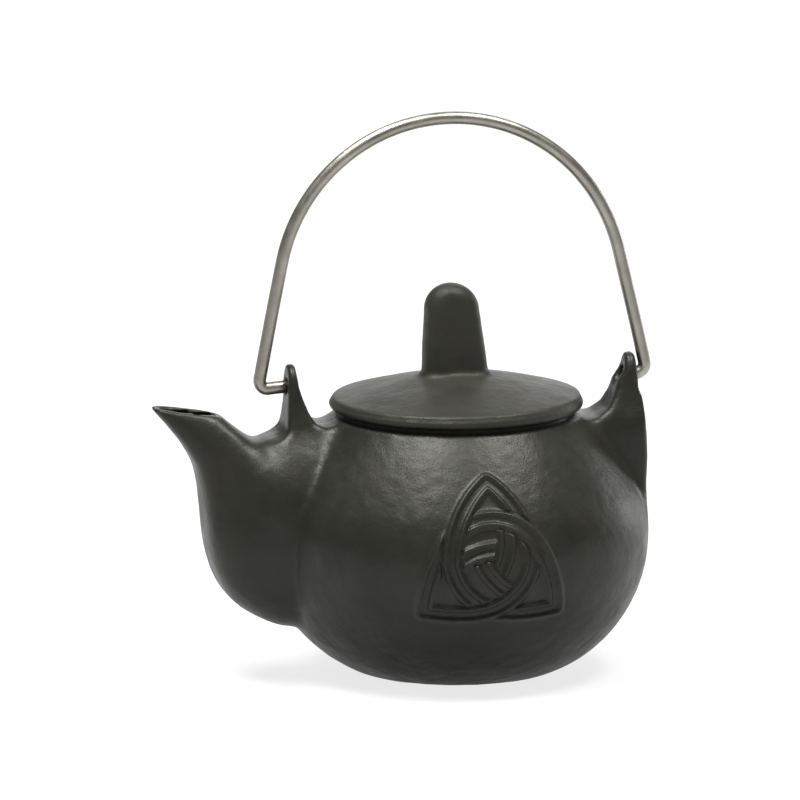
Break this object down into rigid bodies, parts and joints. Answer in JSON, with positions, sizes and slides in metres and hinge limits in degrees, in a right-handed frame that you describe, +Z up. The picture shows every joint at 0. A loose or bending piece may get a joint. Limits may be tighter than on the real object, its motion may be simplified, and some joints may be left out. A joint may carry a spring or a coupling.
{
  "type": "teapot",
  "caption": "Small round cast iron teapot with a fan-shaped spout, a loose lid with an upright knob, a raised knot on the front and a swinging wire bail handle",
  "frame": {"origin": "centre of the flat base, on the surface that the teapot stands on", "axes": "+Z up; the spout points to -X; the raised knot is on the -Y side; the bail swings about an axis along X"},
  "size_m": [0.1259, 0.0962, 0.1411],
  "materials": {
    "cast_iron_body": "satin",
    "cast_iron_lid": "satin",
    "bail_wire": "brushed"
  },
  "bodies": {
    "pot": {"pot": "cast_iron_body"},
    "lid": {"lid": "cast_iron_lid"},
    "bail": {"bail": "bail_wire"}
  },
  "joints": [
    {"name": "lid_lift", "type": "slide", "parent": "pot", "child": "lid", "axis": [0, 0, 1], "range_m": [0, 0.038]},
    {"name": "bail_swing", "type": "hinge", "parent": "pot", "child": "bail", "pos_m": [0, 0, 0.073], "axis": [1, 0, 0], "range_deg": [-100, 100]}
  ]
}
